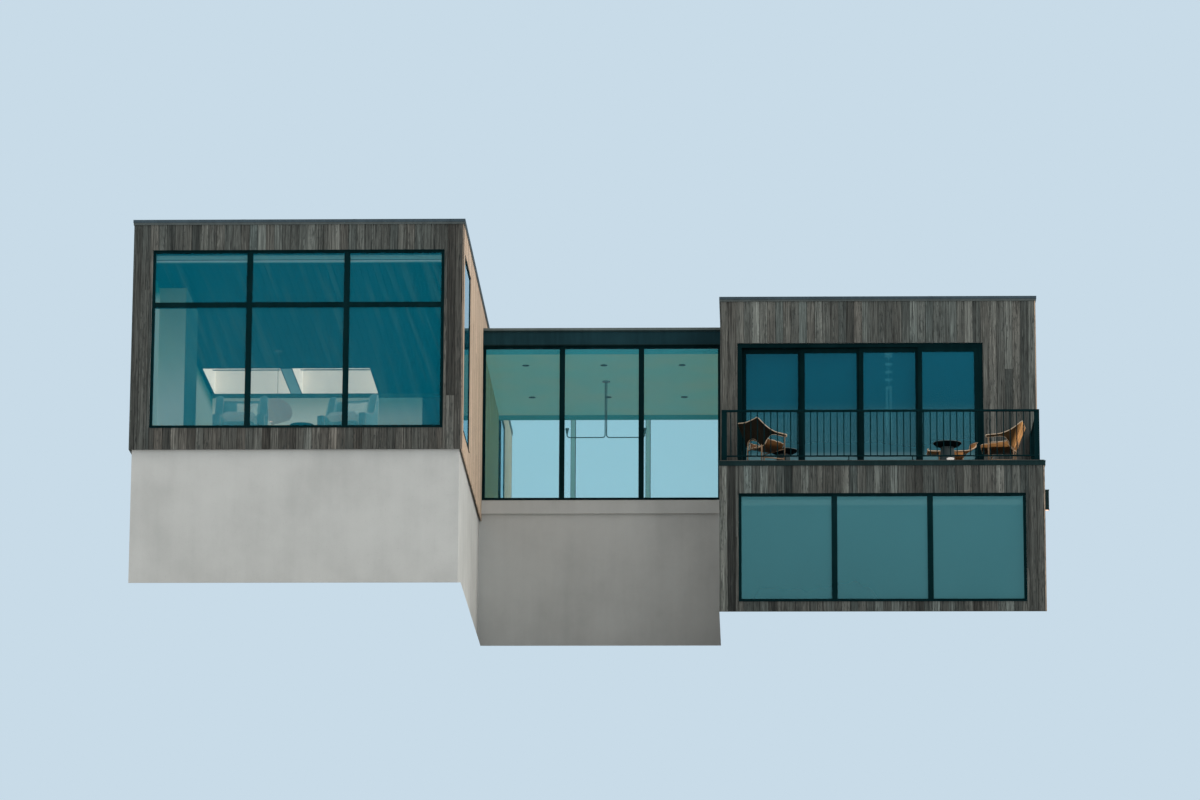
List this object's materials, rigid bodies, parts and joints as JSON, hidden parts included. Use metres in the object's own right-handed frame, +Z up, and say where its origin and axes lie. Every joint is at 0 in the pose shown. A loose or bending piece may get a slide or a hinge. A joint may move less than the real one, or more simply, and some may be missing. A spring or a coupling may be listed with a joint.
{
  "type": "beach house",
  "caption": "Flat-roofed beach house: two timber-clad wings with large windows, joined by a lower glazed link, with a balcony over a lower storey on one side.",
  "frame": {"origin": "middle of the base, at the lowest ground level, half way along the width and the depth of the whole outline", "axes": "+X to the right along the front as seen from the sea side, +Y inland from the front to the back, +Z up"},
  "size_m": [18.907, 20.024, 7.58],
  "materials": {
    "boards": "weathered dark grey vertical boards, unpainted",
    "concrete": "plain grey concrete",
    "dark_metal": "powder-coated dark green-black metal, satin",
    "pale_metal": "mill-finish metal edge",
    "plaster": "smooth white plaster",
    "roofing": "grey roofing membrane",
    "glass": "clear sealed glazing with a faint green tint",
    "lamp_white": "matt white shades",
    "leather": "brown saddle leather shells on oiled wood",
    "fabric": "off-white woven upholstery"
  },
  "bodies": {
    "root": {"left_foundation": "concrete", "left_floor": "concrete", "left_front_wall": "boards", "left_outer_wall": "boards", "left_inner_wall": "boards", "left_back_wall": "boards", "left_roof": "roofing", "left_coping": "dark_metal", "left_room_wall": "plaster", "left_return_wall": "plaster", "left_front_window": "dark_metal", "left_back_window": "dark_metal", "left_side_windows": "dark_metal", "left_glass": "glass", "rooflight_kerbs": "dark_metal", "rooflight_glass": "glass", "ball_lamp": "lamp_white", "blind_box": "plaster", "link_foundation": "concrete", "link_floor": "concrete", "link_roof": "dark_metal", "link_coping": "pale_metal", "link_front_window": "dark_metal", "link_back_window": "dark_metal", "link_glass": "glass", "branch_lamp": "dark_metal", "ceiling_spots": "lamp_white", "right_ground_floor": "concrete", "right_lower_front_wall": "boards", "right_upper_front_wall": "boards", "right_outer_wall": "boards", "right_inner_wall": "boards", "right_back_wall": "boards", "right_upper_floor": "concrete", "balcony_edge": "dark_metal", "right_roof": "roofing", "right_coping": "dark_metal", "right_lower_window": "dark_metal", "balcony_doors": "dark_metal", "right_other_windows": "dark_metal", "right_glass": "glass", "railing_front": "dark_metal", "railing_sides": "dark_metal", "wall_lamp": "dark_metal", "layered_lamp": "lamp_white", "balcony_chairs": "leather", "balcony_tables": "dark_metal", "room_chairs": "fabric", "room_table": "dark_metal"}
  },
  "joints": []
}
